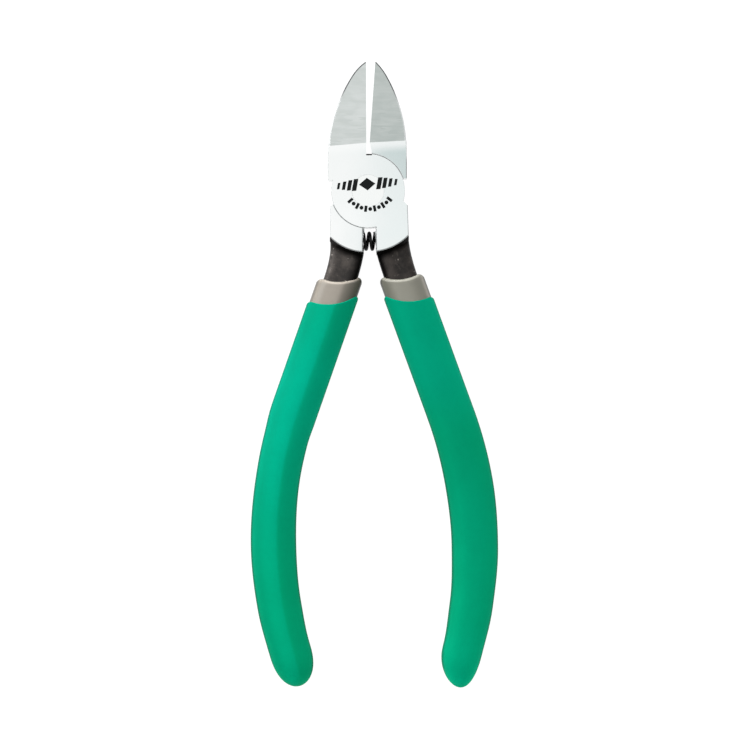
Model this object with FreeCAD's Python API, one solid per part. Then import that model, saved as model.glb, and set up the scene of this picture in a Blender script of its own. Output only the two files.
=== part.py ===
"""Flush cut pliers for plastic and soft wire: two forged halves on a rivet, a return spring, two-coat dipped grips.

Millimetres. The pliers lie on their back: +Z is up, out of the flush face, and +Y points along the jaws.
The origin is on the rivet's axis, in the flat back face of the head. The front half carries the left blade
and the right handle, and the back half the right blade and the left handle, at their sprung-open rest.
"""

import FreeCAD, Part
import math
import os

from FreeCAD import Vector

os.makedirs("parts", exist_ok=True)

# Head: a lap joint, each half's disc half as thick as the head
HEAD_T = 10.0  # thickness over both polished faces
MID_Z = HEAD_T / 2
FACE_GAP = 0.04  # between the two discs
JOINT_R = 9.45  # disc of each half
RECESS_R = 9.57  # round seat that the other half's disc turns in
INSIDE_DISC = 6.8  # how far out a block may start and still lie wholly within the disc
EDGE_BREAK = 0.2  # chamfer round the polished faces
SEAM_BREAK = 0.1  # finer chamfer where the disc and its seat meet
GROUND_BREAK = 0.3  # chamfer round the outer edge of the ground faces

# Blades
TIP_Y = 32.95
TIP_FLAT = 0.2  # width of the blunted tip
TIP_ARC_Y = 29.4  # where the tighter arc to the tip starts
THROAT_Y = 10.0  # where the cutting bevels end, just beyond the discs
THROAT_NOTCH = (0.45, 1.05, 9.05, 0.8)  # in the front disc: reach to each side, lower end and depth
GRIND_Y = 12.3  # where the flush grinding starts
GRIND_DEG = 2.4  # tilt of the ground flush face
GRIND_STEP = 0.05
BACK_TAPER_Y = 9.8  # where the back of the blades starts to thin
BACK_TAPER_DEG = 13.5
BEVEL_DEG = 27.0  # back of the cutting bevel, from the flush face's normal
BEVEL_LAND = 0.12  # depth of the straight land behind the cutting edge

# Rivet
RIVET_R = 3.0
RIVET_HEAD_R = 4.1
RIVET_HEAD_H = 1.2
RUNNING_CLEARANCE = 0.03

# Return spring in its blind pockets
SPRING_Y = -12.7
SPRING_WIRE_R = 0.42
SPRING_OUTER_R = 2.5
SPRING_TURNS = 6.04
SPRING_START_DEG = 82.6  # where the first turn starts, from -Z
SPRING_END_CLEARANCE = 0.05
POCKET_R = 2.7
POCKET_DEPTH = 3.6

# Tangs, the forged handles inside the grips: superellipse sections on a line and an arc
TANG_TOP_HALF_W = 4.45
TANG_HALF_W = 4.15
TANG_HALF_T = 3.3
TANG_END_HALF_W = 2.9
TANG_END_HALF_T = 2.3
TANG_POWER = 4.0
TANG_TOP_Y = -10.0
TANG_LINE_Y = -21.5  # from here down the tang is straight, as far as the bend
TANG_SHORT = 16.0  # the tang stops this far before the grip's end
ROOT_STEP = 1.5  # depth of the shoulder from the polished face down to the tang
ROOT_SLOPE = 0.8  # run of that shoulder

# Grips: a base coat and a cover coat, both dipped
COVER_HALF_T = 5.0
NOSE_HALF_T = 4.85
COVER_WALL = 0.45
GRIP_POWER = 2.45
RIDGE_ROUND = 0.9  # how softly the two facets of a grip's front meet
GRIP_TOP_Y = -19.0  # above both rims
NOSE_LENGTH = 9.5
BEND_STEPS = 6
NOSE_STEPS = (0.3, 0.55, 0.75, 0.88, 0.955, 0.99)
RIM_SAG_R = 14.0  # radius of the sagging rim that dipping leaves
SECTION_POINTS = 28

LONG = 200.0  # longer than the pliers, for cutting tools

# What differs between the halves. Sideways sizes count from the blade's side, -1, to the handle's side, +1.
# grip_half_w pairs each y with the cover's half width there. ridge is where the two facets of the grip's front
# meet, outwards from its centreline, then how steeply the inner and the outer facet fall away from it.
FRONT = {
    "name": "front",
    "hand": 1,
    "blade_x": 10.3,
    "blade_arc_y": 7.9,
    "blade_arc_r": 40.2,
    "edge_throat": 0.45,
    "edge_tip": 0.5,
    "throat_relief": 0.0,
    "grind_turn_deg": 5.0,
    "blade_shoulder_y": 2.75,
    "root_shoulder_y": -2.8,
    "root_in": (1.9, 2.2),
    "root_out": (10.15, 10.6),
    "root_arc": (0.5, -1.7, 13.8),
    "root_curl": 0.012,
    "handle_x": 10.66,
    "splay_deg": 19.98,
    "bend_y": -56.96,
    "bend_r": 102.8,
    "end_y": -126.88,
    "grip_half_w": ((-19.0, 6.04), (-52.0, 6.02), (-75.0, 6.14), (-91.0, 5.96), (-106.0, 5.56), (-117.4, 5.14)),
    "nose_shift": 1.5,
    "nose_power": 2.0,
    "ridge": (-3.2, 0.25, 0.10),
    "base_rim": (7.9, -22.6, 5.0),
    "cover_rim": (10.2, -28.2, 0.0),
}
BACK = {
    "name": "back",
    "hand": -1,
    "blade_x": 9.9,
    "blade_arc_y": 10.0,
    "blade_arc_r": 39.4,
    "edge_throat": 0.45,
    "edge_tip": 1.87,
    "throat_relief": 0.55,
    "grind_turn_deg": 3.0,
    "blade_shoulder_y": 3.15,
    "root_shoulder_y": -3.15,
    "root_in": (1.3, 1.4),
    "root_out": (9.65, 9.8),
    "root_arc": (0.5, -2.6, 13.0),
    "root_curl": 0.02,
    "handle_x": 9.03,
    "splay_deg": 19.28,
    "bend_y": -55.3,
    "bend_r": 100.8,
    "end_y": -126.5,
    "grip_half_w": ((-19, 6.01), (-56.5, 6.03), (-64, 5.72), (-73, 5.65), (-91, 5.83), (-106, 5.66), (-117, 5.37)),
    "nose_shift": 0.2,
    "nose_power": 2.4,
    "ridge": (-1.0, 0.34, 0.05),
    "base_rim": (6.9, -23.2, 0.0),
    "cover_rim": (8.9, -28.9, 5.0),
}
HANDLE_Y = -28.0  # where handle_x is measured


def at(half, x, y, z=0.0):
    """A point of a half, with x counted from the blade's side to the handle's side."""
    return Vector(half["hand"] * x, y, z)


def slab(edges, z_low, z_high):
    """The flat plate inside closed edges, between two heights."""
    face = Part.Face(Part.Wire(Part.__sortEdges__(edges)))
    plate = face.extrude(Vector(0, 0, z_high - z_low))
    plate.translate(Vector(0, 0, z_low))
    return plate


def lines(points):
    """The edges that join points in order, without the closing one."""
    return [Part.LineSegment(a, b).toShape() for a, b in zip(points, points[1:])]


def disc(radius, z_low, z_high):
    return Part.makeCylinder(radius, z_high - z_low, Vector(0, 0, z_low))


def arc_point(half, y):
    """The blade's outer arc at height y, as a distance towards the blade's side."""
    centre = half["blade_arc_r"] - half["blade_x"]
    return centre - math.sqrt(half["blade_arc_r"] ** 2 - (y - half["blade_arc_y"]) ** 2)


def tangent_arc_middle(half, arc_end, tip):
    """The middle of the arc that leaves the blade's outer arc smoothly at its end and reaches the tip."""
    arc_centre = at(half, half["blade_arc_r"] - half["blade_x"], half["blade_arc_y"])
    inwards = (arc_centre - arc_end).normalize()
    chord = tip - arc_end
    radius = chord.Length ** 2 / (2 * chord.dot(inwards))
    centre = arc_end + inwards * radius
    return centre + ((tip + arc_end) * 0.5 - centre).normalize() * radius


def blade_block(half):
    """The blade at full head thickness, reaching down into the disc."""
    relief_y = GRIND_Y if half["throat_relief"] else THROAT_Y
    foot_x = -half["edge_throat"] - half["throat_relief"]
    tip = at(half, -half["edge_tip"] - TIP_FLAT, TIP_Y)
    arc_end = at(half, arc_point(half, TIP_ARC_Y), TIP_ARC_Y)
    tip_middle = tangent_arc_middle(half, arc_end, tip)
    arc_start = at(half, -half["blade_x"], half["blade_arc_y"])
    arc_mid_y = (half["blade_arc_y"] + TIP_ARC_Y) / 2
    arc_middle = at(half, arc_point(half, arc_mid_y), arc_mid_y)
    inner = [
        at(half, -INSIDE_DISC, half["blade_shoulder_y"]),
        at(half, foot_x, INSIDE_DISC),
        at(half, foot_x, THROAT_Y - 0.3),
        at(half, -half["edge_throat"], relief_y),
        at(half, -half["edge_tip"], TIP_Y),
        tip,
    ]
    outer = [
        Part.Arc(tip, tip_middle, arc_end).toShape(),
        Part.Arc(arc_end, arc_middle, arc_start).toShape(),
        *lines([arc_start, at(half, -half["blade_x"], half["blade_shoulder_y"]), inner[0]]),
    ]
    return slab(lines(inner) + outer, 0, HEAD_T)


def root_block(half):
    """The root of the handle at full head thickness: its lower end is an arc with a sloping shoulder."""
    top, bottom = half["root_shoulder_y"], -17.0
    inner, outer = half["root_in"], half["root_out"]
    corner = 0.9
    points = [
        at(half, INSIDE_DISC, top),
        at(half, outer[0] - corner, top),
        at(half, outer[0], top - corner),
        at(half, outer[1], bottom),
        at(half, inner[1], bottom),
        at(half, inner[0], -INSIDE_DISC),
        at(half, INSIDE_DISC, top),
    ]
    block = slab(lines(points), 0, HEAD_T)
    x, y, radius = half["root_arc"]
    middle = Vector(half["hand"] * x, y, 0)
    wide = radius + ROOT_SLOPE
    end = Part.makeCone(radius, wide, ROOT_STEP, middle)
    end = end.fuse(Part.makeCylinder(wide, HEAD_T - 2 * ROOT_STEP, middle + Vector(0, 0, ROOT_STEP)))
    end = end.fuse(Part.makeCone(wide, radius, ROOT_STEP, middle + Vector(0, 0, HEAD_T - ROOT_STEP)))
    return block.common(end)


def line_x(half, y):
    """The handle's centreline above the bend: straight, but curled in towards the root."""
    x = half["handle_x"] + (HANDLE_Y - y) * math.tan(math.radians(half["splay_deg"]))
    return x + half["root_curl"] * max(0.0, y - TANG_LINE_Y) ** 2


def line_turn(half, y):
    """The centreline's angle from -Y above the bend, in radians."""
    slope = math.tan(math.radians(half["splay_deg"])) - 2 * half["root_curl"] * max(0.0, y - TANG_LINE_Y)
    return math.atan(slope)


def bend(half):
    """The bend's centre x and y, its start turn and the turn at the grip's end, in radians."""
    start = math.radians(half["splay_deg"])
    x = line_x(half, half["bend_y"]) - half["bend_r"] * math.cos(start)
    y = half["bend_y"] - half["bend_r"] * math.sin(start)
    return x, y, start, math.asin((half["end_y"] - y) / half["bend_r"])


def bend_point(half, turn):
    x, y, _, _ = bend(half)
    return x + half["bend_r"] * math.cos(turn), y + half["bend_r"] * math.sin(turn)


def section(half, x, y, turn, half_w, half_t, power, faceted=False):
    """A closed superellipse across the handle's centreline at x, y, with or without the front's two facets."""
    def power_of(value):
        return math.copysign(abs(value) ** (2 / power), value)

    points = []
    for i in range(SECTION_POINTS):
        angle = 2 * math.pi * i / SECTION_POINTS
        across = half_w * power_of(math.cos(angle))
        rise = power_of(math.sin(angle))
        drop = facet_drop(half, across) * max(rise, 0.0) if faceted else 0.0
        z = MID_Z + half_t * rise - drop * half_t / COVER_HALF_T
        points.append(at(half, x + across * math.cos(turn), y + across * math.sin(turn), z))
    curve = Part.BSplineCurve()
    curve.interpolate(points, PeriodicFlag=True)
    return Part.Wire(curve.toShape())


def facet_drop(half, across):
    """How far the grip's front lies below its ridge, at a distance outwards from the centreline."""
    ridge, inner, outer = half["ridge"]
    away = across - ridge
    soft = math.hypot(away, RIDGE_ROUND)
    return (inner * (soft - away) + outer * (soft + away)) / 2


def grip_half_w(half, y):
    """The cover's half width at y, eased between the stated ones."""
    stations = half["grip_half_w"]
    for (y_above, w_above), (y_below, w_below) in zip(stations, stations[1:]):
        if y >= y_below:
            share = min(max((y_above - y) / (y_above - y_below), 0.0), 1.0)
            return w_above + (w_below - w_above) * (1 - math.cos(math.pi * share)) / 2
    return stations[-1][1]


def tang(half):
    """The forged handle: it runs inside the grip and tapers round the bend."""
    _, _, start, end = bend(half)
    end += TANG_SHORT / half["bend_r"]
    wires = []
    for y in (TANG_TOP_Y, -15.5, TANG_LINE_Y, -32.0, -44.0, half["bend_y"]):
        root_share = max(0.0, (y - TANG_LINE_Y) / (TANG_TOP_Y - TANG_LINE_Y))
        wide = TANG_HALF_W + (TANG_TOP_HALF_W - TANG_HALF_W) * root_share
        wires.append(section(half, line_x(half, y), y, line_turn(half, y), wide, TANG_HALF_T, TANG_POWER))
    steps = 5
    for i in range(1, steps + 1):
        share = i / steps
        turn = start + (end - start) * share
        wide = TANG_HALF_W + (TANG_END_HALF_W - TANG_HALF_W) * share
        thick = TANG_HALF_T + (TANG_END_HALF_T - TANG_HALF_T) * share
        wires.append(section(half, *bend_point(half, turn), turn, wide, thick, TANG_POWER))
    return Part.makeLoft(wires, True, False)


def grip_blank(half, inset):
    """The solid outer form of a grip coat, inset from the cover's own surface."""
    _, _, start, end = bend(half)
    end += 1.5 * inset / half["bend_r"]
    nose = end + NOSE_LENGTH / half["bend_r"]
    wires = []
    for y in (GRIP_TOP_Y, -24.0, -32.0, -44.0, half["bend_y"]):
        wide = grip_half_w(half, y) - inset
        deep = COVER_HALF_T - inset
        wires.append(section(half, line_x(half, y), y, line_turn(half, y), wide, deep, GRIP_POWER, True))
    for i in range(1, BEND_STEPS + 1):
        share = i / BEND_STEPS
        turn = start + (nose - start) * share
        x, y = bend_point(half, turn)
        wide = grip_half_w(half, y) - inset
        deep = COVER_HALF_T - inset - (COVER_HALF_T - NOSE_HALF_T) * share ** 2
        wires.append(section(half, x, y, turn, wide, deep, GRIP_POWER, True))
    for share in NOSE_STEPS:
        turn = nose + (end - nose) * share
        scale = math.sqrt(1 - share ** half["nose_power"])
        x, y = bend_point(half, turn)
        x += half["nose_shift"] * share ** 2
        wires.append(section(half, x, y, turn, wide * scale, deep * scale, GRIP_POWER, True))
    return Part.makeLoft(wires, True, False)


def below_rim(half, rim):
    """The space below a dipped rim, which sags between the grip's two sides."""
    x, y, turn_deg = rim
    block = Part.makeBox(60, LONG, 4 * HEAD_T, Vector(-30, 2.0 - LONG, MID_Z - 2 * HEAD_T))
    block = block.cut(Part.makeCylinder(RIM_SAG_R, 4 * HEAD_T, Vector(0, RIM_SAG_R, MID_Z - 2 * HEAD_T)))
    block.rotate(Vector(0, 0, 0), Vector(0, 0, 1), turn_deg)
    block.translate(at(half, x, y))
    return block


def grip_coats(half, tang_solid):
    """The base coat on the tang and the cover coat over it."""
    cover_form = grip_blank(half, 0.0)
    base_form = grip_blank(half, COVER_WALL)
    base = base_form.common(below_rim(half, half["base_rim"])).cut(tang_solid)
    cover = cover_form.common(below_rim(half, half["cover_rim"])).cut(base_form)
    return base, cover


def side_cut(points):
    """A cutting tool with an outline in Y and Z, as wide as the head."""
    wire = Part.makePolygon([Vector(-30, y, z) for y, z in [*points, points[0]]])
    return Part.Face(wire).extrude(Vector(60, 0, 0))


def flush_grind(half):
    """Takes the flush face down along the blade, from a line across it that isn't quite square."""
    far = 30.0
    drop = far * math.tan(math.radians(GRIND_DEG))
    tool = side_cut([(0, 1), (0, -GRIND_STEP), (far, -GRIND_STEP - drop), (far, 1)])
    tool.rotate(Vector(0, 0, 0), Vector(0, 0, 1), half["grind_turn_deg"])
    tool.translate(Vector(0, GRIND_Y, HEAD_T))
    return tool


def back_taper():
    """Thins the blades from behind towards their tips."""
    far = 30.0
    rise = far * math.tan(math.radians(BACK_TAPER_DEG))
    y = BACK_TAPER_Y
    return side_cut([(y, -1), (y, 0), (y + far, rise), (y + far, -1)])


def bevel(half):
    """Hollows the blade behind its cutting edge, leaving the edge in the flush face."""
    depth = HEAD_T + 2
    over = 4.0
    lean = depth * math.tan(math.radians(BEVEL_DEG))
    drop = math.tan(math.radians(GRIND_DEG))
    low = at(half, -half["edge_throat"], THROAT_Y, HEAD_T - BEVEL_LAND - (THROAT_Y - GRIND_Y) * drop)
    high = at(half, -half["edge_tip"], TIP_Y, HEAD_T - BEVEL_LAND - GRIND_STEP - (TIP_Y - GRIND_Y) * drop)
    outline = [low, low + at(half, -lean, 0, -depth), low + at(half, over, 0, -depth), low + at(half, over, 0, 0), low]
    return Part.Face(Part.makePolygon(outline)).extrude((high - low) * 1.2)


def pocket(half):
    """The blind hole for one end of the spring, bored sideways from the inner face."""
    mouth = half["root_in"][0] - 1.0
    start = at(half, mouth, SPRING_Y, MID_Z)
    return Part.makeCylinder(POCKET_R, POCKET_DEPTH + 1.0, start, at(half, 1, 0))


def rivet_form(extra):
    """The rivet's outline turned about Z: a shank with a countersunk head at each face."""
    r, head = RIVET_R + extra, RIVET_HEAD_R + extra
    points = [(0, 0), (head, 0), (r, RIVET_HEAD_H), (r, HEAD_T - RIVET_HEAD_H), (head, HEAD_T), (0, HEAD_T), (0, 0)]
    wire = Part.makePolygon([Vector(x, 0, z) for x, z in points])
    return Part.Face(wire).revolve(Vector(0, 0, 0), Vector(0, 0, 1), 360)


def broken_edges(solid, size, seams):
    """The solid with the long edges of its polished faces chamfered: the seams round the axis, or all but them."""
    found = []
    for edge in solid.Edges:
        box = edge.BoundBox
        level = box.ZLength < 1e-6 and (abs(box.ZMin) < 1e-6 or abs(box.ZMax - HEAD_T) < 1e-6)
        cutting = box.YMin > INSIDE_DISC and max(abs(box.XMin), abs(box.XMax)) < 1.9
        middle = edge.valueAt((edge.FirstParameter + edge.LastParameter) / 2)
        seam = math.hypot(middle.x, middle.y) < RECESS_R + 0.01 and edge.Curve.TypeId == "Part::GeomCircle"
        if level and edge.Length > 2 and not cutting and seam == seams:
            found.append(edge)
    return solid.makeChamfer(size, found)


def throat_notch():
    """A shallow notch in the front disc's edge, at the foot of the throat."""
    blade_side, handle_side, low, depth = THROAT_NOTCH
    return Part.makeBox(blade_side + handle_side, 2.0, depth + 1.0, at(FRONT, -blade_side, low, HEAD_T - depth))


def ground_edge_bar(half, solid):
    """A three-sided bar along the ground face's outer edge, whose inner side breaks that edge."""
    edges = []
    for edge in solid.Edges:
        box = edge.BoundBox
        if edge.Curve.TypeId == "Part::GeomEllipse" and box.YMin > THROAT_Y and box.ZMin > HEAD_T - 1.0:
            edges.append(edge)
    edges.sort(key=lambda edge: edge.BoundBox.YMin)
    foot = min((vertex.Point for vertex in edges[0].Vertexes), key=lambda point: point.y)
    outwards = foot - at(half, half["blade_arc_r"] - half["blade_x"], half["blade_arc_y"], foot.z)
    outwards.normalize()
    up = Vector(0, 0, 1)
    near, far = 1.5 * GROUND_BREAK, 2.5 * GROUND_BREAK
    corners = [foot + outwards * a + up * b for a, b in ((-far, near), (near, -far), (near, near), (-far, near))]
    return Part.Wire(edges).makePipeShell([Part.makePolygon(corners)], True, True)


def forging(half, tang_solid):
    """One half: blade, disc, root and tang in one piece."""
    front = half["name"] == "front"
    low, high = MID_Z - FACE_GAP / 2, MID_Z + FACE_GAP / 2
    recess = disc(RECESS_R, -1, high) if front else disc(RECESS_R, low, HEAD_T + 1)
    own_disc = disc(JOINT_R, high, HEAD_T) if front else disc(JOINT_R, 0, low)
    blade = blade_block(half).cut(recess)
    root = root_block(half).cut(recess)
    solid = own_disc.fuse([blade, root]).removeSplitter()
    solid = broken_edges(solid, EDGE_BREAK, False)
    solid = broken_edges(solid, SEAM_BREAK, True)
    solid = solid.fuse(tang_solid.cut(recess))
    solid = solid.cut([flush_grind(half), back_taper(), bevel(half), pocket(half)])
    solid = solid.cut(ground_edge_bar(half, solid))
    if front:
        solid = solid.cut(throat_notch())
    return solid.cut(rivet_form(RUNNING_CLEARANCE if front else 0.0)).removeSplitter()


def spring():
    """A compression spring along X, with its ends in the two pockets."""
    left = -(BACK["root_in"][0] + POCKET_DEPTH) + SPRING_END_CLEARANCE
    right = FRONT["root_in"][0] + POCKET_DEPTH - SPRING_END_CLEARANCE
    length = right - left - 2 * SPRING_WIRE_R
    radius = SPRING_OUTER_R - SPRING_WIRE_R
    pitch = length / SPRING_TURNS
    helix = Part.makeHelix(pitch, length, radius)
    start = Part.Circle(Vector(radius, 0, 0), Vector(0, 1, 0), SPRING_WIRE_R)
    wire = Part.Wire(helix).makePipeShell([Part.Wire(start.toShape())], True, True)
    wire.rotate(Vector(0, 0, 0), Vector(0, 1, 0), 90)
    wire.rotate(Vector(0, 0, 0), Vector(1, 0, 0), SPRING_START_DEG)
    wire.translate(Vector(left + SPRING_WIRE_R, SPRING_Y, MID_Z))
    return wire


def main():
    nodes = {"pivot_rivet": rivet_form(0.0), "return_spring": spring()}
    for half, handle in ((FRONT, "right"), (BACK, "left")):
        tang_solid = tang(half)
        nodes[half["name"] + "_half"] = forging(half, tang_solid)
        base, cover = grip_coats(half, tang_solid)
        nodes[handle + "_grip_base"] = base
        nodes[handle + "_grip_cover"] = cover
    for name, shape in nodes.items():
        shape.exportStep(f"parts/{name}.step")
        print(name, len(shape.Solids), shape.isValid(), round(shape.Volume, 1))


main()
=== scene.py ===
"""Flush cut pliers with dipped vinyl grips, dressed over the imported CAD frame. Metres, CAD frame."""

import math

import bpy
import numpy as np
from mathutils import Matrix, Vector


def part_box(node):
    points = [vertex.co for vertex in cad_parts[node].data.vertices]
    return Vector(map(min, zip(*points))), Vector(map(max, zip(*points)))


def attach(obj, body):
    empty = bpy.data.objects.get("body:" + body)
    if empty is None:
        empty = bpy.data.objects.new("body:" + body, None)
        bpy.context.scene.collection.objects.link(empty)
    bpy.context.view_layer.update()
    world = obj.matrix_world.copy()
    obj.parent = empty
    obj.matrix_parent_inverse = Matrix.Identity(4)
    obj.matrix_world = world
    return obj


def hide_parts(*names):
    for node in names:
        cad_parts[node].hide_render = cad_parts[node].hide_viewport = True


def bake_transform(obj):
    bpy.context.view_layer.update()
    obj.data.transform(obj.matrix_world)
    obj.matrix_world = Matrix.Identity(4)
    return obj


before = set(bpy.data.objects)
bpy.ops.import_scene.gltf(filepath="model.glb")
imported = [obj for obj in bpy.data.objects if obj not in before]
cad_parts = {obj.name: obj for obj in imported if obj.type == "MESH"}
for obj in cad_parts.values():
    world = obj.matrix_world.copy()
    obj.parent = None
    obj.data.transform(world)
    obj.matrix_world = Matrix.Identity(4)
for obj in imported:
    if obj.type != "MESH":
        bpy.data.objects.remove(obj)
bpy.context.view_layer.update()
BACK_BODY = "back_lever"
FRONT_BODY = "front_lever"
MM = 0.001

rivet_low, rivet_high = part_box("pivot_rivet")
spring_low, spring_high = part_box("return_spring")
FACE_Z = rivet_high[2]
MID_Z = (rivet_low[2] + rivet_high[2]) / 2


# ---------------------------------------------------------------- camera, lights and floor

VIEW_WIDTH = 0.1917
VIEW_CENTRE = (0.00179, -0.04698)
VIEW_Z = 0.0075  # the height at which the view is VIEW_WIDTH wide
LENS = 200.0
SENSOR = 36.0
LIT_POINT = (0, -0.04, 0)
FLOOR_HALF = 4.0


def add_camera():
    """Straight above the pliers, with the jaws up in the picture."""
    data = bpy.data.cameras.new("camera")
    data.lens = LENS
    data.sensor_width = SENSOR
    data.clip_start = 0.01
    camera = bpy.data.objects.new("camera", data)
    camera.location = (*VIEW_CENTRE, VIEW_Z + VIEW_WIDTH * LENS / SENSOR)
    bpy.context.collection.objects.link(camera)
    bpy.context.scene.camera = camera


def add_area_light(name, location, size, power):
    data = bpy.data.lights.new(name, "AREA")
    data.energy = power
    data.size = size
    light = bpy.data.objects.new(name, data)
    light.location = location
    light.rotation_euler = (Vector(LIT_POINT) - Vector(location)).to_track_quat("-Z", "Y").to_euler()
    bpy.context.collection.objects.link(light)


def add_world():
    world = bpy.data.worlds.new("studio")
    world.use_nodes = True
    background = world.node_tree.nodes["Background"]
    background.inputs["Color"].default_value = (1, 1, 1, 1)
    background.inputs["Strength"].default_value = 0.35
    bpy.context.scene.world = world


def add_floor():
    half = FLOOR_HALF
    corners = [(-half, -half, 0), (half, -half, 0), (half, half, 0), (-half, half, 0)]
    mesh = bpy.data.meshes.new("floor")
    mesh.from_pydata(corners, [], [(0, 1, 2, 3)])
    floor = bpy.data.objects.new("floor", mesh)
    bpy.context.collection.objects.link(floor)
    material = bpy.data.materials.new("floor")
    material.use_nodes = True
    shader = material.node_tree.nodes["Principled BSDF"]
    shader.inputs["Base Color"].default_value = (0.14, 0.14, 0.14, 1)
    shader.inputs["Roughness"].default_value = 0.9
    shader.inputs["Emission Color"].default_value = (1, 1, 1, 1)
    shader.inputs["Emission Strength"].default_value = 0.96
    mesh.materials.append(material)


def add_stage():
    """A white floor, a white surround and soft light, mostly from the left."""
    bpy.context.scene.view_settings.view_transform = "Standard"
    add_world()
    add_floor()
    add_area_light("overhead", (-0.05, 0.10, 1.3), 1.5, 6.0)
    add_area_light("key", (-0.70, 0.25, 0.40), 0.5, 5.2)
    add_area_light("top_edge", (-0.10, 0.75, 0.30), 0.22, 2.2)
    add_area_light("right_edge", (0.75, 0.05, 0.40), 0.18, 0.9)


# ---------------------------------------------------------------- material helpers


def with_alpha(value):
    """A colour of three numbers as four, and anything else as it is."""
    if isinstance(value, tuple) and len(value) == 3:
        return (*value, 1.0)
    return value


class Nodes:
    """Short calls for building one material's node tree."""

    def __init__(self, name):
        self.material = bpy.data.materials.new(name)
        self.material.use_nodes = True
        self.tree = self.material.node_tree
        self.shader = self.tree.nodes["Principled BSDF"]
        source = self.tree.nodes.new("ShaderNodeTexCoord")
        self.coords = source.outputs["Object"]
        self.x, self.y, self.z = self.split(self.coords)
        self.nx, self.ny, self.nz = self.split(source.outputs["Normal"])

    def link(self, source, target):
        self.tree.links.new(source, target)

    def split(self, vector):
        node = self.tree.nodes.new("ShaderNodeSeparateXYZ")
        self.link(vector, node.inputs[0])
        return node.outputs

    def feed(self, value, target):
        """Sets an input from a number, a colour or another node's output."""
        if isinstance(value, bpy.types.NodeSocket):
            self.link(value, target)
        else:
            target.default_value = with_alpha(value)

    def math(self, operation, a, b=0.0):
        node = self.tree.nodes.new("ShaderNodeMath")
        node.operation = operation
        self.feed(a, node.inputs[0])
        self.feed(b, node.inputs[1])
        return node.outputs[0]

    def plus(self, a, b):
        return self.math("ADD", a, b)

    def minus(self, a, b):
        return self.math("SUBTRACT", a, b)

    def absolute(self, value):
        return self.math("ABSOLUTE", value)

    def times(self, *values):
        result = values[0]
        for value in values[1:]:
            result = self.math("MULTIPLY", result, value)
        return result

    def distance(self, cx, cy):
        """How far a point is from the upright line through cx, cy."""
        across, along = self.minus(self.x, cx), self.minus(self.y, cy)
        return self.math("SQRT", self.plus(self.times(across, across), self.times(along, along)))

    def ramp(self, value, low, high, to_low=0.0, to_high=1.0):
        """A smooth step from to_low at low to to_high at high."""
        node = self.tree.nodes.new("ShaderNodeMapRange")
        node.interpolation_type = "SMOOTHSTEP"
        for key, number in (("From Min", low), ("From Max", high), ("To Min", to_low), ("To Max", to_high)):
            self.feed(number, node.inputs[key])
        self.feed(value, node.inputs["Value"])
        return node.outputs["Result"]

    def near(self, value, middle, within, beyond):
        """1 where value is less than within from middle, and 0 where it is more than beyond."""
        return self.ramp(self.absolute(self.minus(value, middle)), within, beyond, 1.0, 0.0)

    def noise(self, scale, detail=3.0, roughness=0.55, stretch=(1, 1, 1), turn_deg=0.0, distortion=0.0):
        """Noise of about 1 / scale metres in size, drawn out where stretch is below 1."""
        mapping = self.tree.nodes.new("ShaderNodeMapping")
        mapping.inputs["Scale"].default_value = stretch
        mapping.inputs["Rotation"].default_value = (0, 0, math.radians(turn_deg))
        self.link(self.coords, mapping.inputs["Vector"])
        node = self.tree.nodes.new("ShaderNodeTexNoise")
        node.inputs["Scale"].default_value = scale
        node.inputs["Detail"].default_value = detail
        node.inputs["Roughness"].default_value = roughness
        node.inputs["Distortion"].default_value = distortion
        self.link(mapping.outputs[0], node.inputs["Vector"])
        return node.outputs["Fac"]

    def lines(self, along, across, turn_deg, detail, distortion):
        """Noise drawn out along X, by its scales along and across the lines that makes."""
        return self.noise(1.0, detail, 0.5, (along, across, along), turn_deg, distortion)

    def mix(self, factor, a, b, how="MIX"):
        """Colour a at 0, b at 1."""
        node = self.tree.nodes.new("ShaderNodeMix")
        node.data_type = "RGBA"
        node.blend_type = how
        self.feed(factor, node.inputs["Factor"])
        self.feed(a, node.inputs[6])
        self.feed(b, node.inputs[7])
        return node.outputs[2]

    def tint(self, mask, color, factor):
        """The colour, multiplied by factor where mask is 1."""
        return self.mix(mask, color, self.mix(1.0, color, factor, "MULTIPLY"))

    def blend(self, factor, a, b):
        """Number a at 0, b at 1."""
        node = self.tree.nodes.new("ShaderNodeMix")
        self.feed(factor, node.inputs["Factor"])
        self.feed(a, node.inputs[2])
        self.feed(b, node.inputs[3])
        return node.outputs[0]

    def bump(self, height, depth, strength=1.0, normal=None):
        node = self.tree.nodes.new("ShaderNodeBump")
        node.inputs["Distance"].default_value = depth
        self.feed(strength, node.inputs["Strength"])
        self.feed(height, node.inputs["Height"])
        if normal is not None:
            self.link(normal, node.inputs["Normal"])
        return node.outputs[0]

    def finish(self, **values):
        """Feeds the shader's inputs, named with underscores for spaces, and returns the material."""
        for key, value in values.items():
            self.feed(value, self.shader.inputs[key.replace("_", " ")])
        return self.material


# ---------------------------------------------------------------- vinyl

PLAIN = (1.0, 1.0, 1.0)
GREEN = {"outline_shade": (0.82, 0.97, 0.55), "roughness": 0.55, "gloss": 0.015}
GREY = {"roughness": 0.34, "gloss": 0.30}


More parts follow.
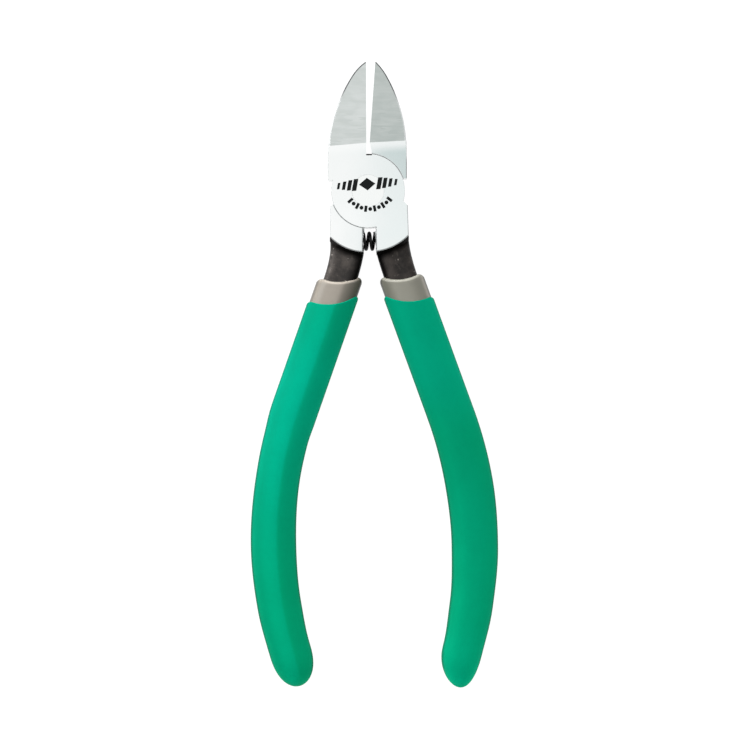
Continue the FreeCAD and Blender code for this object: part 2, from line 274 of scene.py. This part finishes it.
def vinyl(name, side, stops, outer, inner, rim, outline_shade, roughness, gloss, nose=PLAIN, band=PLAIN):
    """Dipped vinyl, faintly mottled, with a slight orange peel.

    side is the handle's side, and stops are its colours from the head down, each with its y. outer and inner
    are painted light and shade: how much its two sides are made lighter or darker, each after the slopes
    between which that sets in. rim, nose and band are the same for a painted highlight on the rolled rim,
    painted light on the end and a painted highlight strip along the outer side. The outline's darkness is
    painted shade, after two slopes."""
    n = Nodes(name)
    color = stops[0][1]
    for (y_above, _), (y_below, below) in zip(stops, stops[1:]):
        color = n.mix(n.ramp(n.y, y_above, y_below), color, below)
    outwards = n.times(n.nx, side)
    # Painted highlights: on the rim's rolled lip, and in a strip along the outer side.
    rolled = n.times(n.ramp(n.ny, 0.03, 0.40), n.ramp(n.ny, 0.75, 0.95, 1.0, 0.2))
    strip = n.times(n.ramp(outwards, 0.58, 0.72), n.ramp(outwards, 0.80, 0.88, 1.0, 0.0))
    # Painted light and shade on the two sides, the strip, the rim and the nose.
    for mask, factor in (
        (n.ramp(outwards, *outer[:2]), outer[2]),
        (n.ramp(n.times(outwards, -1.0), *inner[:2]), inner[2]),
        (strip, band),
        (rolled, rim),
        (n.ramp(n.ny, -0.15, -0.75), nose),
    ):
        color = n.tint(mask, color, factor)
    fine = n.noise(900, 2, 0.5)
    mottle = n.plus(n.times(n.noise(90, 4, 0.6), 0.7), n.times(fine, 0.3))
    # Painted shade along the outline.
    outline = n.ramp(n.absolute(n.nx), outline_shade[0], outline_shade[1], 1.0, outline_shade[2])
    peel = n.bump(n.noise(700, 1, 0.4), 0.00002, 0.2)
    return n.finish(
        Base_Color=n.mix(n.times(n.ramp(mottle, 0.3, 0.7, 0.93, 1.0), outline), (0, 0, 0), color),
        Roughness=n.ramp(fine, 0.2, 0.8, roughness - 0.03, roughness + 0.03),
        Normal=n.bump(n.noise(110, 1, 0.4), 0.00012, 0.5, peel),
        Specular_IOR_Level=gloss,
    )


# Each grip has its own green: the right one is darker than the left as painted shade, and each paints light
# and shade on its sides and light on its nose.
def green_left():
    return vinyl(
        "green_left",
        side=-1,
        stops=((-0.030, (0, 0.40, 0.235)), (-0.048, (0, 0.435, 0.27)), (-0.110, (0, 0.395, 0.205))),
        outer=(0.05, 0.60, (0, 0.80, 0.78)),
        inner=(0.08, 0.30, (0, 0.92, 0.84)),
        rim=(0, 1.05, 1.1),
        nose=(0, 1.22, 1.2),
        **GREEN,
    )


def green_right():
    return vinyl(
        "green_right",
        side=1,
        stops=(
            (-0.046, (0, 0.325, 0.185)),
            (-0.064, (0, 0.295, 0.147)),
            (-0.086, (0, 0.330, 0.170)),
            (-0.097, (0, 0.350, 0.178)),
            (-0.108, (0, 0.355, 0.180)),
            (-0.121, (0, 0.40, 0.210)),
        ),
        outer=(0.05, 0.55, (0, 1.10, 1.06)),
        inner=(0.38, 0.85, (0, 0.92, 0.91)),
        rim=(0, 1.1, 1.15),
        nose=(0, 1.28, 1.3),
        **GREEN,
    )


# Each grip has its own grey: the right one is darker than the left as painted shade, and each paints shade on
# its sides, a highlight on the rim and, on the right, a highlight strip.
def grey_left():
    return vinyl(
        "grey_left",
        side=-1,
        stops=((0.0, (0.355, 0.320, 0.275)),),
        outer=(0.05, 0.55, (0.66, 0.66, 0.65)),
        inner=(0.10, 0.72, (0.31, 0.33, 0.30)),
        rim=(1.75, 1.75, 1.75),
        outline_shade=(0.68, 0.90, 0.4),
        **GREY,
    )


def grey_right():
    return vinyl(
        "grey_right",
        side=1,
        stops=((0.0, (0.262, 0.257, 0.215)),),
        outer=(0.05, 0.55, (0.60, 0.60, 0.58)),
        inner=(0.10, 0.72, (0.70, 0.70, 0.69)),
        rim=(1.9, 1.9, 1.95),
        band=(1.25, 1.2, 1.25),
        outline_shade=(0.78, 0.90, 0.32),
        **GREY,
    )


# ---------------------------------------------------------------- forged steel

GRIND_Y = 0.0123  # where the line between the polished and the ground face crosses x = 0
NOTCH_X, NOTCH_Y = 0.0003, 0.0094  # middle of the notch at the foot of the throat
SCALE_TOP_Y = -0.0080  # the scale starts within half a millimetre below this
BRIGHT = (0.80, 0.815, 0.81)


def polished_color(n, above, tones):
    """A faint haze and a slow change of tone across the head, with painted light that makes it lighter on the
    left and darker on the right, slightly darker towards the tips, and brighter next to the ground face as a
    painted highlight.
    """
    slow = n.plus(n.times(n.noise(110, 3, 0.5), 0.35), n.ramp(n.x, -0.012, 0.012, 0.0, 0.65))
    color = n.mix(n.ramp(slow, 0.15, 0.85), *tones)
    color = n.mix(n.ramp(n.y, -0.014, 0.008, 0.0, 0.055), color, (0.2, 0.24, 0.24))
    # Painted highlight next to the ground face.
    return n.mix(n.ramp(above, -0.0032, -0.0004, 0.0, 0.75), color, tones[0])


def ground_color(n, above, streak, tones):
    """Fine lines across the blade, with a few deeper ones near the line where the grinding starts."""
    band = n.lines(170, 430, 8, 2, 0.6)
    scratch = n.ramp(n.lines(210, 1900, 4, 1, 0.2), 0.57, 0.67)
    deep = n.times(scratch, n.ramp(above, 0.0, 0.010, 1.3, 0.0))
    rows = n.minus(n.plus(n.times(streak, 0.3), n.times(band, 0.7)), deep)
    return n.mix(n.ramp(rows, 0.30, 0.70), *tones)


def edge_color(n):
    """Sides and broken edges, with painted shade: upper edges are darker at the tips, the shoulders and right
    of the rivet. Painted light and shade make the edges of the seam round the joint lighter on the upper
    right than on the lower left.
    """
    right_tone = n.ramp(n.y, 0.007, 0.0095, n.ramp(n.y, 0.0, 0.002, 0.6, 0.3), 0.85)
    side_tone = n.ramp(n.x, -0.002, 0.008, 0.9, right_tone)
    tip_tone = n.ramp(n.y, 0.0215, 0.0265, 1.0, 0.12)
    shoulder = n.times(n.ramp(n.absolute(n.x), 0.0076, 0.0084), n.ramp(n.absolute(n.ny), 0.3, 0.6))
    upper_tone = n.times(side_tone, tip_tone, n.blend(shoulder, 1.0, 0.45))
    tone = n.blend(n.ramp(n.nz, 0.25, 0.45), 0.8, upper_tone)
    # Painted light and shade on the seam round the joint.
    seam_tone = n.ramp(n.plus(n.x, n.y), -0.008, 0.008, 0.5, 0.95)
    seam = n.ramp(n.distance(0, 0), 0.0098, 0.0099, seam_tone, 0.0)
    return n.mix(n.math("MAXIMUM", tone, seam), (0.03, 0.035, 0.035), (0.9, 0.92, 0.92))


def notch_shade_mask(n):
    """1 inside the notch, below the polished face, where it is painted black as shade."""
    below = n.ramp(n.z, FACE_Z - 0.0002, FACE_Z - 0.0004)
    return n.times(n.near(n.x, NOTCH_X, 0.0009, 0.0011), n.near(n.y, NOTCH_Y, 0.0004, 0.0005), below)


def tang_color(n, scale, cloud, shade):
    """Mottled forging scale with rubbed spots and bright specks, darkened by shade."""
    rust = n.mix(n.ramp(scale, 0.35, 0.7), (0.028, 0.025, 0.023), (0.088, 0.075, 0.067))
    rubbed = n.mix(n.times(n.ramp(cloud, 0.58, 0.72), 0.55), rust, (0.16, 0.14, 0.125))
    speckled = n.mix(n.ramp(n.noise(2000, 1, 0.4), 0.73, 0.79), rubbed, (0.42, 0.38, 0.34))
    return n.mix(1.0, speckled, shade, "MULTIPLY")


def steel(name, side, root_arc, grind_deg, polish, dull, scale_tone, tang_x, splay, dark):
    """One forging: polished head, ground flush face, and a dark scaled tang outside the root's arc.

    side is the handle's side, and root_arc the arc's centre and radius. grind_deg is the slant of the line
    where the grinding starts, and polish and dull are the two faces' tones, darker on the back half as
    painted shade. tang_x is the tang's middle at y = 0, splay is how far that moves out per metre down, and
    dark is the two distances from it between which the tang's inner side turns black as painted shade."""
    n = Nodes(name)
    cx, cy, radius = root_arc
    past_root = n.minus(n.distance(cx, cy), radius)
    low_down = n.ramp(n.y, SCALE_TOP_Y - 0.0005, SCALE_TOP_Y, 1.0, 0.0)
    forged = n.times(n.ramp(past_root, 0.00001, 0.00006), low_down)
    above = n.minus(n.minus(n.y, n.times(n.x, math.tan(math.radians(grind_deg)))), GRIND_Y)
    ground = n.times(n.ramp(above, -0.00004, 0.00004), n.ramp(n.nz, 0.95, 0.99))
    steep = n.ramp(n.absolute(n.nz), 0.70, 0.92, 1.0, 0.0)

    streak = n.lines(140, 1300, 2, 2, 0.3)
    head = n.mix(ground, polished_color(n, above, polish), ground_color(n, above, streak, dull))
    head = n.mix(steep, head, edge_color(n))
    # The notch is painted black as shade.
    head = n.mix(notch_shade_mask(n), head, (0.01, 0.01, 0.01))

    scale = n.noise(260, 5, 0.65)
    cloud = n.noise(420, 3, 0.5, distortion=0.6)
    outwards = n.plus(n.minus(n.times(n.x, side), tang_x), n.times(n.y, splay))
    # Painted shade: the tang turns black next to the head's arc and on its inner side, in its colour and its
    # gloss.
    shade_below_head = n.ramp(past_root, 0.0008, 0.0026, 0.12, 1.0)
    shade = n.times(shade_below_head, n.ramp(outwards, *dark, 0.10, 1.0), scale_tone)
    relief = n.blend(forged, n.times(streak, ground, 0.15), n.plus(scale, n.times(cloud, 0.5)))
    return n.finish(
        Base_Color=n.mix(forged, head, tang_color(n, scale, cloud, shade)),
        Metallic=n.blend(forged, 1.0, 0.35),
        Roughness=n.blend(forged, n.blend(ground, 0.24, 0.36), 0.52),
        Specular_IOR_Level=n.blend(forged, 0.5, n.times(shade, 0.4)),
        Normal=n.bump(relief, 0.00014, 0.6),
    )


def front_steel():
    return steel(
        "steel_front",
        side=1,
        root_arc=(0.0005, -0.0017, 0.0138),
        grind_deg=5,
        polish=(BRIGHT, (0.70, 0.745, 0.74)),
        dull=((0.51, 0.545, 0.53), (0.585, 0.615, 0.605)),
        scale_tone=0.56,
        tang_x=0.0010,
        splay=0.345,
        dark=(-0.0040, -0.0026),
    )


# The back half's polished and ground tones are darker as painted shade.
def back_steel():
    return steel(
        "steel_back",
        side=-1,
        root_arc=(-0.0005, -0.0026, 0.0130),
        grind_deg=3,
        polish=(BRIGHT, (0.51, 0.585, 0.58)),
        dull=((0.40, 0.44, 0.425), (0.465, 0.50, 0.485)),
        scale_tone=0.90,
        tang_x=0.0002,
        splay=0.31,
        dark=(-0.0040, -0.0012),
    )


# ---------------------------------------------------------------- rivet, wire and ink


def rivet_steel():
    n = Nodes("rivet")
    color = n.mix(n.noise(200, 3, 0.5), (0.75, 0.78, 0.77), (0.80, 0.81, 0.80))
    return n.finish(Base_Color=color, Metallic=1.0, Roughness=0.26)


def black_wire():
    n = Nodes("spring_wire")
    color = n.mix(n.noise(1500, 3), (0.002, 0.002, 0.002), (0.008, 0.008, 0.009))
    return n.finish(Base_Color=color, Roughness=0.4, Specular_IOR_Level=0.2)


def ink():
    n = Nodes("ink")
    color = n.mix(n.noise(2500, 3), (0.002, 0.003, 0.003), (0.008, 0.010, 0.010))
    return n.finish(Base_Color=color, Roughness=0.6, Specular_IOR_Level=0.12)


# ---------------------------------------------------------------- mesh helpers


def add_piece(name, vertices, faces, material, body, replaced=(), smooth=True):
    """A mesh that rides on body, or on none."""
    mesh = bpy.data.meshes.new(name)
    mesh.from_pydata([tuple(v) for v in vertices], [], faces)
    mesh.materials.append(material)
    mesh.update()
    for polygon in mesh.polygons:
        polygon.use_smooth = smooth
    obj = bpy.data.objects.new(name, mesh)
    bpy.context.collection.objects.link(obj)
    if body:
        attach(obj, body)
    if replaced:
        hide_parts(*replaced)
    return obj


def tube_faces(rings, count, capped=False):
    """Quads between rings of count points each, with or without a cap at both ends."""
    faces = []
    for r in range(rings - 1):
        for i in range(count):
            j = (i + 1) % count
            faces.append((r * count + i, r * count + j, (r + 1) * count + j, (r + 1) * count + i))
    if capped:
        faces.append(tuple(reversed(range(count))))
        faces.append(tuple(range((rings - 1) * count, rings * count)))
    return faces


# ---------------------------------------------------------------- grips

# The handle's line, as in the CAD: straight and splayed, then an arc. Millimetres, and x counts outwards
# from the pivot. half_w pairs each y with the cover's half width there. ridge is where the two facets of the
# front meet, outwards from the middle, then how steeply the inner and the outer facet fall away from it. Each
# rim is its middle's x and y and its slant in degrees.
RIGHT = {
    "side": 1,
    "handle_x": 10.66,
    "splay": math.radians(19.98),
    "bend_y": -56.96,
    "bend_r": 102.8,
    "end_y": -126.88,
    "curl": 0.012,
    "half_w": ((-19.0, 6.04), (-52.0, 6.02), (-75.0, 6.14), (-91.0, 5.96), (-106.0, 5.56), (-117.4, 5.14)),
    "nose_shift": 1.5,
    "nose_power": 2.0,
    "ridge": (-3.2, 0.25, 0.10),
    "base_rim": (7.9, -22.6, 5.0),
    "cover_rim": (10.2, -28.2, 0.0),
}
LEFT = {
    "side": -1,
    "handle_x": 9.03,
    "splay": math.radians(19.28),
    "bend_y": -55.3,
    "bend_r": 100.8,
    "end_y": -126.5,
    "curl": 0.02,
    "half_w": ((-19, 6.01), (-56.5, 6.03), (-64, 5.72), (-73, 5.65), (-91, 5.83), (-106, 5.66), (-117, 5.37)),
    "nose_shift": 0.2,
    "nose_power": 2.4,
    "ridge": (-1.0, 0.34, 0.05),
    "base_rim": (6.9, -23.2, 0.0),
    "cover_rim": (8.9, -28.9, 5.0),
}
HANDLE_Y = -28.0  # where handle_x is measured
CURL_Y = -21.5  # above this the line curls away from straight
HALF_T = 5.0
NOSE_HALF_T = 4.85
COVER_WALL = 0.45
BASE_WALL = 1.25
COVER_LIP = 0.3
BASE_LIP = 0.85
POWER = 2.45  # of the superellipse sections
RIDGE_ROUND = 0.9
NOSE_LENGTH = 9.5
SAG_R = 14.0  # of the sagging rim that dipping leaves
CORNER = 0.9  # rounding of the rim where it turns to the sides
RING = 96  # points round a grip
LIP_STEPS = 9
LEVEL_S = -6.0  # from here down the rings of points no longer follow the rim
TO_LEVEL = (0.02, 0.05, 0.1, 0.18, 0.28, 0.4, 0.55, 0.7, 0.85, 1.0)  # the rings between the rim and there
BODY_ROWS = 40
NOSE_ROWS = 18


class Handle:
    """Points on one handle's grip, by s: the distance along its line from the start of the bend."""

    def __init__(self, sizes):
        self.__dict__.update(sizes)
        self.bend_x = self.straight_x(self.bend_y) - self.bend_r * math.cos(self.splay)
        self.arc_y = self.bend_y - self.bend_r * math.sin(self.splay)
        end_turn = math.asin((self.end_y - self.arc_y) / self.bend_r)
        self.length = self.bend_r * (self.splay - end_turn)

    def straight_x(self, y):
        curl = self.curl * max(0.0, y - CURL_Y) ** 2
        return self.handle_x + (HANDLE_Y - y) * math.tan(self.splay) + curl

    def line(self, s):
        """x, y and the turn from -Y at s."""
        if s <= 0:
            y = self.bend_y - s * math.cos(self.splay)
            slope = math.tan(self.splay) - 2 * self.curl * max(0.0, y - CURL_Y)
            return self.straight_x(y), y, math.atan(slope)
        turn = self.splay - s / self.bend_r
        x, y = self.bend_x + self.bend_r * math.cos(turn), self.arc_y + self.bend_r * math.sin(turn)
        return x, y, turn

    def wide(self, y):
        """The cover's half width at y."""
        for (y_above, w_above), (y_below, w_below) in zip(self.half_w, self.half_w[1:]):
            if y >= y_below:
                share = min(max((y_above - y) / (y_above - y_below), 0.0), 1.0)
                return w_above + (w_below - w_above) * (1 - math.cos(math.pi * share)) / 2
        return self.half_w[-1][1]

    def drop(self, across):
        """How far the front lies below its ridge, at a distance outwards from the middle."""
        ridge, inner, outer = self.ridge
        away = across - ridge
        soft = math.hypot(away, RIDGE_ROUND)
        return (inner * (soft - away) + outer * (soft + away)) / 2

    def nose_s(self, inset):
        """Where the closed end starts."""
        return self.length - 1.5 * inset - NOSE_LENGTH

    def point(self, s, angle, inset):
        """A point of the grip's surface, inset from the cover's."""
        x, y, turn = self.line(s)
        nose = self.nose_s(inset)
        share = min(max(s / nose, 0.0), 1.0)
        past = min(max((s - nose) / NOSE_LENGTH, 0.0), 1.0)
        scale = math.sqrt(max(1 - past**self.nose_power, 0.0))
        wide = (self.wide(y) - inset) * scale
        thick = (HALF_T - inset - (HALF_T - NOSE_HALF_T) * share**2) * scale
        c, d = math.cos(angle), math.sin(angle)
        across = wide * math.copysign(abs(c) ** (2 / POWER), c)
        rise = math.copysign(abs(d) ** (2 / POWER), d)
        up = thick * (rise - self.drop(across) * max(rise, 0.0) / HALF_T)
        return (
            self.side * (x + self.nose_shift * past**2 + across * math.cos(turn)) * MM,
            (y + across * math.sin(turn)) * MM,
            MID_Z + up * MM,
        )

    def rim_s(self, angle, inset, rim):
        """Where the surface meets its sagging rim, found by halving."""
        x0, y0, slant_deg = rim
        slant = math.radians(slant_deg)
        wide = self.half_w[0][1] - inset
        past = max(wide * abs(math.cos(angle)) ** (2 / POWER) - wide + CORNER, 0.0)
        corner = CORNER - math.sqrt(max(CORNER**2 - past**2, 0.0))
        low, high = -45.0, -10.0
        for _ in range(40):
            s = (low + high) / 2
            px, py, _ = self.point(s, angle, inset)
            dx, dy = px / MM - self.side * x0, py / MM - y0
            u = dx * math.cos(slant) + dy * math.sin(slant)
            v = -dx * math.sin(slant) + dy * math.cos(slant)
            sag = SAG_R - math.sqrt(max(SAG_R**2 - u**2, 0.0)) - corner
            if v > sag:
                low = s
            else:
                high = s
        return (low + high) / 2


def coat_rows(handle, inset, wall, rim, lip):
    """Rings of points from inside the rim, over its rolled lip and down the outside to the nose."""
    turns = [2 * math.pi * i / RING for i in range(RING)]
    rims = [handle.rim_s(a, inset, rim) for a in turns]
    nose = handle.nose_s(inset)

    def rim_row(rise, depth):
        return [handle.point(s + rise, a, inset + depth) for s, a in zip(rims, turns)]

    rows = [rim_row(3.0, wall), rim_row(1.0, wall), rim_row(lip * 0.5, wall)]
    for k in range(LIP_STEPS + 1):
        swing = math.pi / 2 * (1 + k / LIP_STEPS)
        rows.append(rim_row(lip * (1 - math.sin(swing)), lip * (1 + math.cos(swing))))
    for f in TO_LEVEL:
        rows.append([handle.point(s + lip + (LEVEL_S - s - lip) * f, a, inset) for s, a in zip(rims, turns)])
    for s in np.linspace(LEVEL_S, nose, BODY_ROWS)[1:]:
        rows.append([handle.point(s, a, inset) for a in turns])
    for t in np.linspace(0, math.pi / 2, NOSE_ROWS)[1:-1]:
        rows.append([handle.point(nose + NOSE_LENGTH * math.sin(t), a, inset) for a in turns])
    return rows


def grip_coat(name, handle, inset, wall, rim, lip, material, body, slot, node):
    """A dipped coat: a rolled lip at the rim, then the outside down to the closed nose."""
    rows = coat_rows(handle, inset, wall, rim, lip)
    vertices = [p for row in rows for p in row]
    faces = tube_faces(len(rows), RING)
    tip, last = len(vertices), len(vertices) - RING
    vertices.append(handle.point(handle.nose_s(inset) + NOSE_LENGTH, 0.0, inset))
    faces += [(last + i, last + (i + 1) % RING, tip) for i in range(RING)]
    if handle.side < 0:
        faces = [tuple(reversed(f)) for f in faces]
    add_piece(name, vertices, faces, material, body, (node,))


def add_grip(word, sizes, body, grey, green):
    """One handle's two coats, the grey base under the green cover."""
    handle = Handle(sizes)
    base = (f"{word}_base_coat", handle, COVER_WALL, BASE_WALL, handle.base_rim, BASE_LIP)
    cover = (f"{word}_cover_coat", handle, 0.0, COVER_WALL, handle.cover_rim, COVER_LIP)
    grip_coat(*base, grey, body, "grip_base", f"{word}_grip_base")
    grip_coat(*cover, green, body, "grip_cover", f"{word}_grip_cover")


# ---------------------------------------------------------------- spring

SPRING_TURNS = 6.04
SPRING_START = math.radians(82.6)
WIRE_R = 0.00042
WIRE_STEPS = 48  # along one turn
WIRE_RING = 14


def add_return_spring(material):
    """A black coil between the two pockets."""
    x_low, x_high = spring_low[0], spring_high[0]
    cy = (spring_low[1] + spring_high[1]) / 2
    radius = (spring_high[1] - spring_low[1]) / 2 - WIRE_R
    start, end = x_low + WIRE_R, x_high - WIRE_R
    along = np.array([1.0, 0, 0])
    steps = round(WIRE_STEPS * SPRING_TURNS)
    vertices = []
    for k in range(steps + 1):
        t = k / steps
        turn = SPRING_START + 2 * math.pi * SPRING_TURNS * t
        outwards = np.array([0, math.sin(turn), -math.cos(turn)])
        centre = np.array([start + (end - start) * t, cy, MID_Z]) + radius * outwards
        for i in range(WIRE_RING):
            a = 2 * math.pi * i / WIRE_RING
            vertices.append(centre + WIRE_R * (math.cos(a) * outwards + math.sin(a) * along))
    faces = tube_faces(steps + 1, WIRE_RING, capped=True)
    slot, node = "spring_steel", "return_spring"
    spring = add_piece("return_spring_coil", vertices, faces, material, None, (node,))
    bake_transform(spring)


# ---------------------------------------------------------------- print on the joint

PRINT_Z = 0.000012  # how far the ink stands up
PRINT_LEAN = math.radians(4)
# The rest are in millimetres.
ORNAMENT_AT = (-0.2, 1.7)
LOZENGE = ((-2.1, 0), (0, -1.6), (2.1, 0), (0, 1.6))
BARS = ((3.0, 1.15), (2.6, 1.0), (2.1, 0.85), (1.6, 0.65))  # height and width, from the lozenge outwards
BAR_START, BAR_PITCH = 3.1, 1.4
BAR_SLANT = 0.25  # sideways, for each of its height
MARK_ARC = (0.35, 1.85, 6.5)  # centre and radius
MARK_START_DEG, MARK_SWEEP_DEG = -138, 100
MARK_COUNT = 11
TICK = ((-0.8, -0.36), (0.8, -0.36), (0.8, 0.36), (-0.8, 0.36))
DOT_R = 0.5
DOT_POINTS = 23


def flat_shape(name, outlines, material, body):
    """Thin raised ink, from closed outlines in millimetres on the head's face."""
    vertices, faces = [], []
    for outline in outlines:
        n, first = len(outline), len(vertices)
        vertices += [(x * MM, y * MM, FACE_Z - PRINT_Z / 2) for x, y in outline]
        vertices += [(x * MM, y * MM, FACE_Z + PRINT_Z) for x, y in outline]
        faces.append(tuple(range(first + n, first + 2 * n)))
        faces += [(first + i, first + (i + 1) % n, first + n + (i + 1) % n, first + n + i) for i in range(n)]
    add_piece(name, vertices, faces, material, body, smooth=False)


def turned(points, angle, x, y):
    c, d = math.cos(angle), math.sin(angle)
    return [(px * c - py * d + x, px * d + py * c + y) for px, py in points]


def bar(x, tall, wide):
    """A slanted bar whose middle is at x."""
    half, top = wide / 2, tall / 2
    lean = BAR_SLANT * top
    return [(x - half - lean, -top), (x + half - lean, -top), (x + half + lean, top), (x - half + lean, top)]


def ornament():
    """A lozenge between slanted bars."""
    shapes = [LOZENGE]
    for side in (-1, 1):
        for k, (tall, wide) in enumerate(BARS):
            shapes.append(bar(side * (BAR_START + BAR_PITCH * k), tall, wide))
    return [turned(shape, PRINT_LEAN, *ORNAMENT_AT) for shape in shapes]


def marks():
    """Ticks and dots by turns along an arc."""
    cx, cy, radius = MARK_ARC
    dot_turns = [2 * math.pi * i / DOT_POINTS for i in range(DOT_POINTS)]
    dot = [(DOT_R * math.cos(b), DOT_R * math.sin(b)) for b in dot_turns]
    shapes = []
    for k in range(MARK_COUNT):
        a = math.radians(MARK_START_DEG + MARK_SWEEP_DEG * k / (MARK_COUNT - 1))
        x, y = radius * math.cos(a) + cx, radius * math.sin(a) + cy
        shapes.append(turned(dot, 0.0, x, y) if k % 2 else turned(TICK, a, x, y))
    return shapes


def add_print(material):
    flat_shape("print_ornament", ornament(), material, FRONT_BODY)
    flat_shape("print_marks", marks(), material, FRONT_BODY)


# ---------------------------------------------------------------- assembly


def dress_cad(node, material):
    """Gives a CAD node that stays in view its material."""
    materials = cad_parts[node].data.materials
    materials.clear()
    materials.append(material)


add_camera()
add_stage()
dress_cad("front_half", front_steel())
dress_cad("back_half", back_steel())
dress_cad("pivot_rivet", rivet_steel())
add_return_spring(black_wire())
add_print(ink())
add_grip("left", LEFT, BACK_BODY, grey_left(), green_left())
add_grip("right", RIGHT, FRONT_BODY, grey_right(), green_right())
